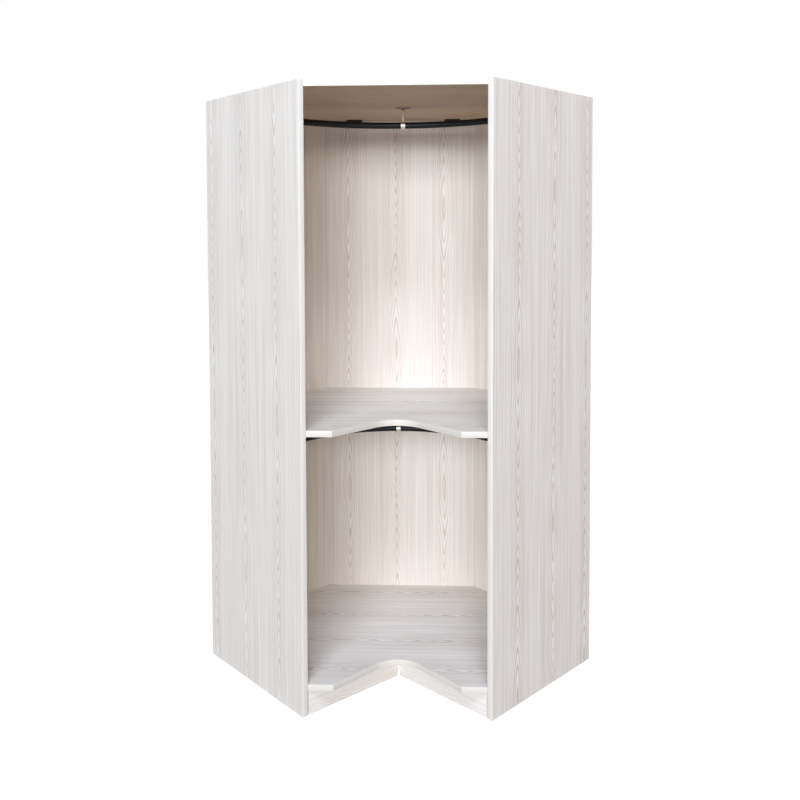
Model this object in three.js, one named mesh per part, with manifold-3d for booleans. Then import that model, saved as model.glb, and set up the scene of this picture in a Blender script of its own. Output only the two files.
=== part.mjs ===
// Open corner wardrobe for two walls that meet at a right angle: two side panels, a back in three
// parts with a diagonal across the corner, a top, a shelf and a bottom with curved fronts, a plinth
// in a V, and two bent hanging rails held by end sockets and a centre support each.
// Millimetres, +Z up, the front faces -Y, the room's corner lies towards +Y, and the origin is on
// the floor at the middle of the wardrobe's box.
import * as THREE from "three";
import { mergeVertices } from "three/addons/utils/BufferGeometryUtils.js";
import Module from "manifold-3d";

const wasm = await Module();
wasm.setup();

// Driving dimensions
const height = 2200;
const frontLeg = 440; // along either wall, what the front opening takes between the side panels
const sideDepth = 598; // from the wall to the front of a side panel
const chamferLength = 460; // what the diagonal back takes off each wall, on the inside
const boardThickness = 22;
const backThickness = 16;
const bandThickness = 2; // white edge band on the fronts
const bottomTopHeight = 110; // floor to the top of the bottom panel
const shelfTopHeight = 1002; // floor to the top of the shelf
const shelfOverhang = 63; // how far the shelf's front beside the notch lies past the side panels' fronts
const notchRadius = 115; // inner curve of the shelf's front
const jointGap = 0.3; // clearance between pieces that seat on each other
const weldDistance = 0.001; // vertices nearer than this are one
const cutOverrun = 1; // how far a cutter runs past the face it opens

// Plinth
const plinthThickness = 16;
const plinthSetback = 2; // behind the front of a side panel, at the side panel
const plinthOverhang = 30; // how far the plinth's inner corner lies past the side panels' fronts
const plinthEndGap = 2.5; // open joint beside a side panel
const cornerStripWidth = 7;
const plinthBracketLength = 30;
const plinthBracketLeg = 26;
const plinthBracketSheet = 2;
const plinthBracketHoleRadius = 2.5;

// Hanging rails
const railRadius = 12.5;
const railWall = 1.5;
const upperRailDrop = 69; // underside of the top to the rail's axis
const lowerRailDrop = 94; // underside of the shelf to the rail's axis
const upperBendRadius = 600;
const lowerBendRadius = 450;
const socketFlangeRadius = 23;
const socketFlangeThickness = 3.5;
const socketCupWall = 3;
const socketCupDepth = 15;
const socketScrewRadius = 2.2;
const socketScrewSpacing = 38; // between the two screw holes

// Centre supports of the rails
const upperSupportOffset = 20; // sideways from the middle
const lowerSupportOffset = -3;
const supportPostRadius = 4.6;
const supportPlateLength = 60;
const supportPlateWidth = 22;
const supportPlateThickness = 2.5;
const supportBossRadius = 8;
const supportBossHeight = 6;
const supportScrewRadius = 2.4;
const supportScrewSpacing = 44;
const saddleWidth = 17;
const saddleWall = 2.2;
const saddleClearance = 0.7; // round the rail, which is bent where the ring is straight

// Corner blocks that hold the diagonal back to the top
const leftBlockOffset = -196; // sideways from the middle
const rightBlockOffset = 229;
const blockLength = 66;
const blockDepth = 34;
const blockHeight = 22;
const blockNose = 9; // height of the block's front face
const blockScrewRadius = 3.2;
const blockScrewDepth = 6;
const blockScrewSpacing = 40;

// Cam fittings between the side panels and the level boards
const camRadius = 7.4;
const camHeight = 12.5;
const camReach = 34; // from the board's end to the cam's axis
const camInset = 64; // from the side panel's front, and from the back, to a cam
const camSlotWidth = 1.6;
const camSlotLength = 8;
const camSlotDepth = 3;
const boltHeadRadius = 3.4;
const boltHeadLength = 4;
const boltNeckRadius = 2;
const boltShankRadius = 3;
const boltThreadRadius = 2.6;
const boltThreadLength = 11;

// Facets
const railSides = 16;
const railSteps = 32;
const notchSteps = 14;
const roundSides = 18;
const boreSides = 12;
const boltSides = 10;

// Sizes that follow from the ones above
const diagonalShare = Math.SQRT1_2;
const innerSideLength = sideDepth + frontLeg; // room's corner to a side panel's inner face
const wallLength = innerSideLength + boardThickness; // room's corner to a side panel's outer face
const shelfReach = sideDepth + shelfOverhang;
const plinthCornerReach = sideDepth + plinthOverhang;
const boardEnd = innerSideLength - jointGap; // where a level board ends beside a side panel
const innerBackReach = (backThickness + backThickness + chamferLength) * diagonalShare;
const outerBackReach = innerBackReach - backThickness;
const outerCorner = outerBackReach / diagonalShare; // along a wall to the diagonal's outer face
const frontReach = (wallLength + sideDepth) * diagonalShare;
const boardFrontReach = (innerSideLength + sideDepth) * diagonalShare;
const middleReach = (frontReach + outerBackReach) / 2;
const topUnderside = height - boardThickness;
const shelfUnderside = shelfTopHeight - boardThickness;
const bottomUnderside = bottomTopHeight - boardThickness;
const railReach = (backThickness + sideDepth) / 2; // from the wall to a rail's straight ends
const socketCupRadius = railRadius + jointGap + socketCupWall;
const up = new THREE.Vector3(0, 0, 1);

const whiteWood = { color: 0xdedad5, roughness: 0.55, metalness: 0 };
const whiteEdge = { color: 0xf4f2ee, roughness: 0.45, metalness: 0 };
const blackSteel = { color: 0x16191d, roughness: 0.4, metalness: 0.3 };
const blackPlastic = { color: 0x141414, roughness: 0.6, metalness: 0 };
const nickel = { color: 0xc3bdb2, roughness: 0.3, metalness: 1 };
const zinc = { color: 0xa7a9ac, roughness: 0.4, metalness: 1 };

const wardrobe = new THREE.Group();

function addPiece(name, geometry, finish, parent = wardrobe) {
  const piece = new THREE.Mesh(geometry, new THREE.MeshStandardMaterial(finish));
  piece.name = name;
  parent.add(piece);
  return piece;
}

// A point of the plan. side is -1 for the left wall and 1 for the right one, along is the distance
// from the room's corner along that wall, and out the distance from the wall into the room.
function plan(side, along, out) {
  return new THREE.Vector2(
    side * (along - out) * diagonalShare,
    middleReach - (along + out) * diagonalShare,
  );
}

// The point of the plan at a distance along the wall that lies reach from the room's corner,
// measured on the diagonal.
function planAtReach(side, along, reach) {
  return plan(side, along, reach / diagonalShare - along);
}

function atHeight(point, z) {
  return new THREE.Vector3(point.x, point.y, z);
}

// An upright or level board: its outline in plan, from the height bottom up to the height top.
function boardGeometry(outline, bottom, top) {
  const geometry = new THREE.ExtrudeGeometry(new THREE.Shape(outline), {
    depth: top - bottom,
    bevelEnabled: false,
  });
  return geometry.translate(0, 0, bottom);
}

// A cylinder from a point on in a direction, used for rods and as a drill.
function rodGeometry(start, direction, length, radius, sides) {
  const geometry = new THREE.CylinderGeometry(radius, radius, length, sides);
  geometry.translate(0, length / 2, 0);
  return alongDirection(geometry, start, direction);
}

// Turns a geometry that was made along +Y so that it starts at a point and runs in a direction.
function alongDirection(geometry, start, direction) {
  const turn = new THREE.Quaternion().setFromUnitVectors(new THREE.Vector3(0, 1, 0), direction);
  return geometry.applyQuaternion(turn).translate(start.x, start.y, start.z);
}

function solidFrom(geometry) {
  const bare = geometry.clone();
  bare.deleteAttribute("normal");
  bare.deleteAttribute("uv");
  const merged = mergeVertices(bare, weldDistance);
  return new wasm.Manifold(
    new wasm.Mesh({
      numProp: 3,
      vertProperties: merged.attributes.position.array,
      triVerts: new Uint32Array(merged.index.array),
    }),
  );
}

function geometryFrom(solid) {
  const mesh = solid.getMesh();
  const geometry = new THREE.BufferGeometry();
  geometry.setAttribute("position", new THREE.BufferAttribute(mesh.vertProperties, 3));
  geometry.setIndex(new THREE.BufferAttribute(mesh.triVerts, 1));
  geometry.computeVertexNormals();
  return geometry;
}

function cutFrom(geometry, cutters) {
  let solid = solidFrom(geometry);
  for (const cutter of cutters) {
    solid = solid.subtract(solidFrom(cutter));
  }
  return geometryFrom(solid);
}

function joinTo(geometry, additions) {
  let solid = solidFrom(geometry);
  for (const addition of additions) {
    solid = solid.add(solidFrom(addition));
  }
  return geometryFrom(solid);
}

const sides = [
  { name: "left", side: -1 },
  { name: "right", side: 1 },
];

// Where each level board sits, and which of its faces its cams are let into: the top's upper face
// and the other boards' undersides, so none shows from the front.
const levels = [
  { name: "top", bottom: topUnderside, camsAbove: true },
  { name: "shelf", bottom: shelfUnderside, camsAbove: false },
  { name: "bottom", bottom: bottomUnderside, camsAbove: false },
];

// The cam stations of one level board: at the front and at the back of both ends.
function camStations(level) {
  const stations = [];
  for (const { name, side } of sides) {
    for (const [place, out] of [
      ["front", sideDepth - camInset],
      ["back", backThickness + camInset],
    ]) {
      const axisHeight = level.bottom + boardThickness / 2;
      const inward = plan(side, 0, out).sub(plan(side, wallLength, out)).normalize();
      stations.push({
        name: `${name}_${place}`,
        end: atHeight(plan(side, innerSideLength, out), axisHeight),
        centre: atHeight(plan(side, innerSideLength - camReach, out), axisHeight),
        inward: new THREE.Vector3(inward.x, inward.y, 0),
        side,
      });
    }
  }
  return stations;
}

// The pocket that a cam sits in, open to one face of its board.
function camPocket(station, level) {
  const face = level.camsAbove ? level.bottom + boardThickness : level.bottom;
  const facing = level.camsAbove ? 1 : -1;
  const start = atHeight(station.centre, face + facing * cutOverrun);
  const depth = camHeight + jointGap + cutOverrun;
  return rodGeometry(
    start,
    up.clone().multiplyScalar(-facing),
    depth,
    camRadius + jointGap,
    roundSides,
  );
}

// The bore in a board's end that the bolt passes through on its way to the cam.
function boltBore(station) {
  const start = station.end.clone().addScaledVector(station.inward, -cutOverrun);
  const length = camReach + cutOverrun;
  return rodGeometry(start, station.inward, length, boltHeadRadius + jointGap, boreSides);
}

// The blind hole in a side panel's inner face for the bolt's thread.
function threadBore(station) {
  const start = station.end.clone().addScaledVector(station.inward, cutOverrun);
  const outward = station.inward.clone().negate();
  const length = boltThreadLength + jointGap + cutOverrun;
  return rodGeometry(start, outward, length, boltThreadRadius + jointGap, boreSides);
}

function addSidePanels() {
  for (const { name, side } of sides) {
    const bores = [];
    for (const level of levels) {
      for (const station of camStations(level)) {
        if (station.side === side) {
          bores.push(threadBore(station));
        }
      }
    }
    const boardFront = sideDepth - bandThickness;
    const board = boardGeometry(
      [
        plan(side, innerSideLength, 0),
        plan(side, wallLength, 0),
        plan(side, wallLength, boardFront - jointGap),
        plan(side, innerSideLength, boardFront - jointGap),
      ],
      0,
      height,
    );
    addPiece(`${name}_side_panel`, cutFrom(board, bores), whiteWood);
    const band = boardGeometry(
      [
        plan(side, innerSideLength, boardFront),
        plan(side, wallLength, boardFront),
        plan(side, wallLength, sideDepth),
        plan(side, innerSideLength, sideDepth),
      ],
      0,
      height,
    );
    addPiece(`${name}_side_edge_band`, band, whiteEdge);
  }
}

// The back: one board along each wall, mitred to the diagonal board across the corner. All three
// stand on the floor and carry the top.
function addBackPanels() {
  const backTop = topUnderside - jointGap;
  const innerCorner = backThickness + chamferLength;
  for (const { name, side } of sides) {
    const board = boardGeometry(
      [
        plan(side, outerCorner + jointGap, 0),
        plan(side, innerCorner + jointGap, backThickness),
        plan(side, boardEnd, backThickness),
        plan(side, boardEnd, 0),
      ],
      0,
      backTop,
    );
    addPiece(`${name}_back_panel`, board, whiteWood);
  }
  const diagonal = boardGeometry(
    [
      plan(-1, innerCorner, backThickness),
      plan(1, innerCorner, backThickness),
      plan(1, outerCorner, 0),
      plan(-1, outerCorner, 0),
    ],
    0,
    backTop,
  );
  addPiece("diagonal_back_panel", diagonal, whiteWood);
}

// The front line of the shelf and of the bottom panel, from left to right and inset by a distance:
// square across beside each side panel, then parallel to the walls, with a round notch between.
function shapedFront(inset) {
  const reach = shelfReach - inset;
  const lineReach = boardFrontReach - inset;
  const notchCentre = plan(1, shelfReach + notchRadius, shelfReach + notchRadius);
  const radius = notchRadius + inset;
  const cornerAlong = lineReach / diagonalShare - reach;
  const points = [planAtReach(-1, boardEnd, lineReach), plan(-1, cornerAlong, reach)];
  for (let step = 0; step <= notchSteps; step += 1) {
    const angle = (Math.PI / 2) * (step / notchSteps) - Math.PI / 4;
    points.push(
      new THREE.Vector2(
        notchCentre.x + radius * Math.sin(angle),
        notchCentre.y + radius * Math.cos(angle),
      ),
    );
  }
  points.push(plan(1, cornerAlong, reach), planAtReach(1, boardEnd, lineReach));
  return points;
}

// The front line of the top, straight across.
function straightFront(inset) {
  const lineReach = boardFrontReach - inset;
  return [planAtReach(-1, boardEnd, lineReach), planAtReach(1, boardEnd, lineReach)];
}

// The rear of a level board that lies inside the back panels, from right to left.
function insideRear() {
  const out = backThickness + jointGap;
  const cornerAlong = (innerBackReach + jointGap) / diagonalShare - out;
  return [
    plan(1, boardEnd, out),
    plan(1, cornerAlong, out),
    plan(-1, cornerAlong, out),
    plan(-1, boardEnd, out),
  ];
}

// The rear of the top, which lies on the back panels and ends flush with them.
function coveringRear() {
  return [
    plan(1, boardEnd, 0),
    plan(1, outerCorner, 0),
    plan(-1, outerCorner, 0),
    plan(-1, boardEnd, 0),
  ];
}

function addLevelBoard(name, level, front, rear) {
  const cuts = [];
  for (const station of camStations(level)) {
    cuts.push(camPocket(station, level), boltBore(station));
  }
  const levelTop = level.bottom + boardThickness;
  const outline = [...front(bandThickness + jointGap), ...rear()];
  addPiece(name, cutFrom(boardGeometry(outline, level.bottom, levelTop), cuts), whiteWood);
  const strip = [...front(0), ...front(bandThickness).reverse()];
  addPiece(`${name}_edge_band`, boardGeometry(strip, level.bottom, levelTop), whiteEdge);
}

// One cam: a drum with a cross slot in its open face, and an opening for the bolt's head.
function camGeometry(station, level) {
  const facing = level.camsAbove ? 1 : -1;
  const face = level.camsAbove ? level.bottom + boardThickness : level.bottom;
  const inside = atHeight(station.centre, face - facing * camHeight);
  const drum = rodGeometry(
    inside,
    up.clone().multiplyScalar(facing),
    camHeight,
    camRadius,
    roundSides,
  );
  const mouth = rodGeometry(
    station.centre,
    station.inward.clone().negate(),
    camRadius + cutOverrun,
    boltHeadRadius + jointGap,
    boreSides,
  );
  const cuts = [mouth];
  for (const [lengthX, lengthY] of [
    [camSlotLength, camSlotWidth],
    [camSlotWidth, camSlotLength],
  ]) {
    const slot = new THREE.BoxGeometry(lengthX, lengthY, camSlotDepth + camSlotDepth);
    cuts.push(slot.translate(station.centre.x, station.centre.y, face));
  }
  return cutFrom(drum, cuts);
}

// One bolt: thread in the side panel, shank through the board's end, neck and head in the cam.
function boltGeometry(station) {
  const headEnd = camReach - jointGap;
  const headStart = headEnd - boltHeadLength;
  const neckStart = camReach - camRadius;
  const profile = [
    new THREE.Vector2(0, -boltThreadLength),
    new THREE.Vector2(boltThreadRadius, -boltThreadLength),
    new THREE.Vector2(boltThreadRadius, 0),
    new THREE.Vector2(boltShankRadius, 0),
    new THREE.Vector2(boltShankRadius, neckStart),
    new THREE.Vector2(boltNeckRadius, neckStart),
    new THREE.Vector2(boltNeckRadius, headStart),
    new THREE.Vector2(boltHeadRadius, headStart),
    new THREE.Vector2(boltHeadRadius, headEnd),
    new THREE.Vector2(0, headEnd),
  ];
  const bolt = new THREE.LatheGeometry(profile, boltSides);
  return alongDirection(bolt, station.end, station.inward);
}

function addCamFittings() {
  for (const level of levels) {
    for (const station of camStations(level)) {
      addPiece(`${level.name}_cam_${station.name}`, camGeometry(station, level), zinc);
      addPiece(`${level.name}_bolt_${station.name}`, boltGeometry(station), zinc);
    }
  }
}

// Where two lines of the plan meet, each given by a point and a direction.
function crossing(pointA, directionA, pointB, directionB) {
  const between = pointB.clone().sub(pointA);
  const share = between.cross(directionB) / directionA.cross(directionB);
  return pointA.clone().addScaledVector(directionA, share);
}

// The plinth: two boards in a V from the fronts of the side panels back to an inner corner, with a
// white strip in the joint and an angle bracket to the bottom panel behind each board.
function addPlinth() {
  const plinthTop = bottomUnderside - jointGap;
  const inner = plan(1, plinthCornerReach, plinthCornerReach);
  const across = new THREE.Vector2(0, 1);
  for (const { name, side } of sides) {
    const outer = plan(side, innerSideLength, sideDepth - plinthSetback);
    const face = inner.clone().sub(outer).normalize();
    const rearward = new THREE.Vector2(-face.y, face.x).multiplyScalar(-side);
    const rear = outer.clone().addScaledVector(rearward, plinthThickness);
    const stripSide = new THREE.Vector2(side * (cornerStripWidth / 2 + jointGap), 0);
    const panelSide = plan(side, innerSideLength - plinthEndGap, 0);
    const panelRun = plan(side, 0, sideDepth).sub(plan(side, 0, 0));
    const board = boardGeometry(
      [
        crossing(outer, face, panelSide, panelRun),
        crossing(outer, face, stripSide, across),
        crossing(rear, face, stripSide, across),
        crossing(rear, face, panelSide, panelRun),
      ],
      0,
      plinthTop,
    );
    addPiece(`${name}_plinth`, board, whiteWood);

    const bracket = new THREE.Group();
    const middle = outer.clone().add(inner).divideScalar(2);
    middle.addScaledVector(rearward, plinthThickness + jointGap);
    bracket.position.set(middle.x, middle.y, plinthTop);
    bracket.rotation.z = Math.atan2(rearward.y, rearward.x);
    wardrobe.add(bracket);
    addPiece(`${name}_plinth_bracket`, angleBracketGeometry(), zinc, bracket);
  }
  const half = cornerStripWidth / 2;
  const stripRear = inner.y + plinthThickness;
  const strip = boardGeometry(
    [
      new THREE.Vector2(-half, inner.y - half),
      new THREE.Vector2(half, inner.y - half),
      new THREE.Vector2(half, stripRear),
      new THREE.Vector2(-half, stripRear),
    ],
    0,
    plinthTop,
  );
  addPiece("plinth_corner_strip", strip, whiteEdge);
}

// An angle of steel sheet: one leg down behind the plinth, one leg back under the bottom panel.
function angleBracketGeometry() {
  const profile = new THREE.Shape([
    new THREE.Vector2(0, 0),
    new THREE.Vector2(0, -plinthBracketLeg),
    new THREE.Vector2(plinthBracketSheet, -plinthBracketLeg),
    new THREE.Vector2(plinthBracketSheet, -plinthBracketSheet),
    new THREE.Vector2(plinthBracketLeg, -plinthBracketSheet),
    new THREE.Vector2(plinthBracketLeg, 0),
  ]);
  const angle = new THREE.ExtrudeGeometry(profile, {
    depth: plinthBracketLength,
    bevelEnabled: false,
  });
  angle.rotateX(Math.PI / 2).translate(0, plinthBracketLength / 2, 0);
  const middle = (plinthBracketLeg + plinthBracketSheet) / 2;
  const length = plinthBracketSheet + cutOverrun + cutOverrun;
  const holes = [];
  for (const place of [-plinthBracketLength / 4, plinthBracketLength / 4]) {
    const radius = plinthBracketHoleRadius;
    const back = new THREE.Vector3(-cutOverrun, place, -middle);
    const under = new THREE.Vector3(middle, place, cutOverrun - length);
    holes.push(rodGeometry(back, new THREE.Vector3(1, 0, 0), length, radius, boltSides));
    holes.push(rodGeometry(under, up, length, radius, boltSides));
  }
  return cutFrom(angle, holes);
}

// The circle that a rail's bend follows: it touches the lines that lie railReach from each wall.
function bendCentre(bendRadius) {
  const reach = railReach + bendRadius;
  return plan(1, reach, reach);
}

// A rail: a round tube with straight ends square to the side panels and one bend between.
function railGeometry(bendRadius) {
  const centre = bendCentre(bendRadius);
  const tubeEnd = boardEnd - socketFlangeThickness - jointGap;
  const start = atHeight(plan(-1, tubeEnd, railReach), 0);
  const bendStart = atHeight(plan(-1, railReach + bendRadius, railReach), 0);
  const bendEnd = atHeight(plan(1, railReach + bendRadius, railReach), 0);
  const end = atHeight(plan(1, tubeEnd, railReach), 0);
  const path = new THREE.CurvePath();
  path.add(new THREE.LineCurve3(start, bendStart));
  path.add(new BendCurve(centre, bendRadius));
  path.add(new THREE.LineCurve3(bendEnd, end));
  const section = new THREE.Shape();
  section.absarc(0, 0, railRadius, 0, Math.PI * 2, false);
  const bore = new THREE.Path();
  bore.absarc(0, 0, railRadius - railWall, 0, Math.PI * 2, true);
  section.holes.push(bore);
  return new THREE.ExtrudeGeometry(section, {
    curveSegments: railSides / 2,
    steps: railSteps,
    extrudePath: path,
    bevelEnabled: false,
  });
}

// A quarter circle in plan, from the left wall's direction round to the right wall's.
class BendCurve extends THREE.Curve {
  constructor(centre, radius) {
    super();
    this.centre = centre;
    this.radius = radius;
  }
  getPoint(share, target = new THREE.Vector3()) {
    const angle = (Math.PI / 2) * share - Math.PI / 4;
    return target.set(
      this.centre.x + this.radius * Math.sin(angle),
      this.centre.y + this.radius * Math.cos(angle),
      0,
    );
  }
}

// An end socket, made along +Y from the side panel: a round flange with two screw holes and a cup
// that the rail's end sits in.
function socketGeometry() {
  const cupEnd = socketFlangeThickness + socketCupDepth;
  const boreRadius = railRadius + jointGap;
  const profile = [
    new THREE.Vector2(0, 0),
    new THREE.Vector2(socketFlangeRadius, 0),
    new THREE.Vector2(socketFlangeRadius, socketFlangeThickness),
    new THREE.Vector2(socketCupRadius, socketFlangeThickness),
    new THREE.Vector2(socketCupRadius, cupEnd),
    new THREE.Vector2(boreRadius, cupEnd),
    new THREE.Vector2(boreRadius, socketFlangeThickness),
    new THREE.Vector2(0, socketFlangeThickness),
  ];
  const cup = new THREE.LatheGeometry(profile, roundSides);
  const length = socketFlangeThickness + cutOverrun + cutOverrun;
  const holes = [-1, 1].map((way) =>
    rodGeometry(
      new THREE.Vector3(0, -cutOverrun, (way * socketScrewSpacing) / 2),
      new THREE.Vector3(0, 1, 0),
      length,
      socketScrewRadius,
      boltSides,
    ),
  );
  return cutFrom(cup, holes);
}

// The plate that holds a centre support to the board above: rounded ends with a screw hole each,
// and a boss that the post screws into. Its upper face is at height 0.
function supportPlateGeometry() {
  const half = supportPlateLength / 2;
  const endRadius = supportPlateWidth / 2;
  const outline = new THREE.Shape();
  outline.absarc(half - endRadius, 0, endRadius, -Math.PI / 2, Math.PI / 2, false);
  outline.absarc(endRadius - half, 0, endRadius, Math.PI / 2, (Math.PI * 3) / 2, false);
  for (const way of [-1, 1]) {
    const hole = new THREE.Path();
    const place = (way * supportScrewSpacing) / 2;
    hole.absarc(place, 0, supportScrewRadius, 0, Math.PI * 2, true);
    outline.holes.push(hole);
  }
  const plate = new THREE.ExtrudeGeometry(outline, {
    depth: supportPlateThickness,
    curveSegments: boltSides,
    bevelEnabled: false,
  });
  plate.translate(0, 0, -supportPlateThickness);
  const bossTop = new THREE.Vector3(0, 0, -supportPlateThickness / 2);
  const down = up.clone().negate();
  const bossLength = supportBossHeight + supportPlateThickness / 2;
  const boss = rodGeometry(bossTop, down, bossLength, supportBossRadius, roundSides);
  const postTop = new THREE.Vector3(0, 0, -supportPlateThickness);
  const socketLength = supportBossHeight + cutOverrun;
  const postRadius = supportPostRadius + jointGap;
  const socket = rodGeometry(postTop, down, socketLength, postRadius, boreSides);
  return cutFrom(joinTo(plate, [boss]), [socket]);
}

// The ring that a rail passes through, with its axis along X.
function saddleGeometry() {
  const inner = railRadius + saddleClearance;
  const half = saddleWidth / 2;
  const profile = [
    new THREE.Vector2(inner, -half),
    new THREE.Vector2(inner + saddleWall, -half),
    new THREE.Vector2(inner + saddleWall, half),
    new THREE.Vector2(inner, half),
    new THREE.Vector2(inner, -half),
  ];
  return new THREE.LatheGeometry(profile, roundSides).rotateZ(Math.PI / 2);
}

function addRail(name, boardUnderside, drop, bendRadius, supportOffset) {
  const axisHeight = boardUnderside - drop;
  const rail = addPiece(`${name}_rail`, railGeometry(bendRadius), blackSteel);
  rail.position.z = axisHeight;
  for (const { name: sideName, side } of sides) {
    const inward = plan(side, 0, railReach).sub(plan(side, wallLength, railReach)).normalize();
    const socket = alongDirection(
      socketGeometry(),
      atHeight(plan(side, boardEnd, railReach), axisHeight),
      new THREE.Vector3(inward.x, inward.y, 0),
    );
    addPiece(`${name}_rail_${sideName}_socket`, socket, blackPlastic);
  }

  const centre = bendCentre(bendRadius);
  const angle = Math.asin(supportOffset / bendRadius);
  const support = new THREE.Group();
  support.position.set(supportOffset, centre.y + bendRadius * Math.cos(angle), 0);
  support.rotation.z = -angle;
  wardrobe.add(support);
  const plateTop = boardUnderside - jointGap;
  const plate = addPiece(`${name}_support_plate`, supportPlateGeometry(), nickel, support);
  plate.position.z = plateTop;
  const postTop = plateTop - supportPlateThickness - jointGap;
  const postEnd = axisHeight + railRadius + saddleClearance + saddleWall + jointGap;
  const post = rodGeometry(
    new THREE.Vector3(0, 0, postEnd),
    up,
    postTop - postEnd,
    supportPostRadius,
    boreSides,
  );
  addPiece(`${name}_support_post`, post, nickel, support);
  const saddle = addPiece(`${name}_support_saddle`, saddleGeometry(), nickel, support);
  saddle.position.z = axisHeight;
}

// A corner block: deep along the top, sloping down to the back, with a screw recess for each.
function blockGeometry() {
  const profile = new THREE.Shape([
    new THREE.Vector2(0, 0),
    new THREE.Vector2(-blockDepth, 0),
    new THREE.Vector2(-blockDepth, -blockNose),
    new THREE.Vector2(-blockNose, -blockHeight),
    new THREE.Vector2(0, -blockHeight),
  ]);
  const block = new THREE.ExtrudeGeometry(profile, { depth: blockLength, bevelEnabled: false });
  block.rotateX(Math.PI / 2).rotateZ(Math.PI / 2).translate(-blockLength / 2, 0, 0);
  const run = new THREE.Vector2(blockDepth - blockNose, blockHeight - blockNose).normalize();
  const facing = new THREE.Vector3(0, -run.y, -run.x);
  const recesses = [-1, 1].map((way) => {
    const middle = new THREE.Vector3(
      (way * blockScrewSpacing) / 2,
      -(blockDepth + blockNose) / 2,
      -(blockHeight + blockNose) / 2,
    );
    const start = middle.addScaledVector(facing, cutOverrun);
    const length = blockScrewDepth + cutOverrun;
    return rodGeometry(start, facing.clone().negate(), length, blockScrewRadius, boltSides);
  });
  return cutFrom(block, recesses);
}

function addCornerBlocks() {
  for (const [name, offset] of [
    ["left", leftBlockOffset],
    ["right", rightBlockOffset],
  ]) {
    const block = addPiece(`${name}_corner_block`, blockGeometry(), blackPlastic);
    const backFace = middleReach - innerBackReach;
    block.position.set(offset, backFace - jointGap, topUnderside - jointGap);
  }
}

addSidePanels();
addBackPanels();
const [topLevel, shelfLevel, bottomLevel] = levels;
addLevelBoard("top_panel", topLevel, straightFront, coveringRear);
addLevelBoard("mid_shelf", shelfLevel, shapedFront, insideRear);
addLevelBoard("bottom_panel", bottomLevel, shapedFront, insideRear);
addCamFittings();
addPlinth();
addRail("upper", topUnderside, upperRailDrop, upperBendRadius, upperSupportOffset);
addRail("lower", shelfUnderside, lowerRailDrop, lowerBendRadius, lowerSupportOffset);
addCornerBlocks();

export default wardrobe;
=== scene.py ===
# Open corner wardrobe in whitewashed wood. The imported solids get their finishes, most of them give
# way to finer pieces, and the screws and the back cap are added. Metres; the front faces -Y and
# the room's corner lies towards +Y.
import math

import bmesh
import bpy
from mathutils import Matrix, Vector


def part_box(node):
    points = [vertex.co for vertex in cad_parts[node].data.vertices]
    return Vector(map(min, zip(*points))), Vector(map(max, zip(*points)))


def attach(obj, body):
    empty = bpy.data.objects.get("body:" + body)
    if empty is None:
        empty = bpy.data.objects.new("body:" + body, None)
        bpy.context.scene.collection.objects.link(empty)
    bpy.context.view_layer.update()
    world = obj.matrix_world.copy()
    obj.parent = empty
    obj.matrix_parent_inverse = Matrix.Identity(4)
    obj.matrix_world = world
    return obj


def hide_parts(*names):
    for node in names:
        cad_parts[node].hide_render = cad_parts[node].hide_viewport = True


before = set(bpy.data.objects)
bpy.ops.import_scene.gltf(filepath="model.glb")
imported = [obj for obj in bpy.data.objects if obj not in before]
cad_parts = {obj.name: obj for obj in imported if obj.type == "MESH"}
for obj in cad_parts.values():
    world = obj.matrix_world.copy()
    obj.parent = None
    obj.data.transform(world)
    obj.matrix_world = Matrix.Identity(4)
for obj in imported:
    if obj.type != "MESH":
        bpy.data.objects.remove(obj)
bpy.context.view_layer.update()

half = math.sqrt(0.5)
upright = Vector((0, 0, 1))
rightward = Vector((1, 0, 0))
rearward = Vector((0, 1, 0))
bothSides = (("left", -1), ("right", 1))

# Sizes that the boards and fittings share, as in the solids
wardrobe = {
    "height": 2.2,
    "sideDepth": 0.598,
    "innerSide": 1.038,       # room's corner to a side panel's inner face
    "outerSide": 1.06,
    "boardThickness": 0.022,
    "backThickness": 0.016,
    "boardEnd": 1.0377,
    "innerCorner": 0.476,     # along a wall to where the diagonal back's inner face begins
    "middleReach": 0.752140,  # room's corner to the origin, on the diagonal
    "topUnderside": 2.178,
    "shelfUnderside": 0.980,
    "bottomUnderside": 0.088,
    "plinthSetback": 0.002,
    "plinthOverhang": 0.030,
}
gap = 0.0003  # between two pieces that meet
innerBackReach = (wardrobe["innerCorner"] + wardrobe["backThickness"]) * half
outerBackReach = innerBackReach - wardrobe["backThickness"]


def planPoint(side, along, out, height=0.0):
    # side is -1 on the left wall and 1 on the right one
    return Vector((
        side * (along - out) * half,
        wardrobe["middleReach"] - (along + out) * half,
        height,
    ))


def onDiagonal(reach):
    # the point on the floor at that distance from the room's corner, midway between the walls
    return Vector((0, wardrobe["middleReach"] - reach, 0))


def alongWall(side):
    return Vector((side * half, -half, 0))  # away from the room's corner


def outOfWall(side):
    return Vector((-side * half, -half, 0))  # from the wall into the room


def plinthLine(side):
    # the plinth's inner corner, the direction to its outer end and the way that its face looks
    reach = wardrobe["sideDepth"] + wardrobe["plinthOverhang"]
    inner = planPoint(1, reach, reach)
    setback = wardrobe["sideDepth"] - wardrobe["plinthSetback"]
    outer = planPoint(side, wardrobe["innerSide"], setback)
    run = (outer - inner).normalized()
    return inner, run, run.cross(upright) * side


# Selecting and finishing

def selectNothing():
    if bpy.context.object and bpy.context.object.mode != "OBJECT":
        bpy.ops.object.mode_set(mode="OBJECT")
    bpy.ops.object.select_all(action="DESELECT")


def selectOnly(piece):
    selectNothing()
    piece.select_set(True)
    bpy.context.view_layer.objects.active = piece


def openMesh(piece, picks="VERT"):
    selectOnly(piece)
    bpy.ops.object.mode_set(mode="EDIT")
    bpy.ops.mesh.select_mode(type=picks)


def pickAll():
    bpy.ops.mesh.select_all(action="SELECT")


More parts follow.
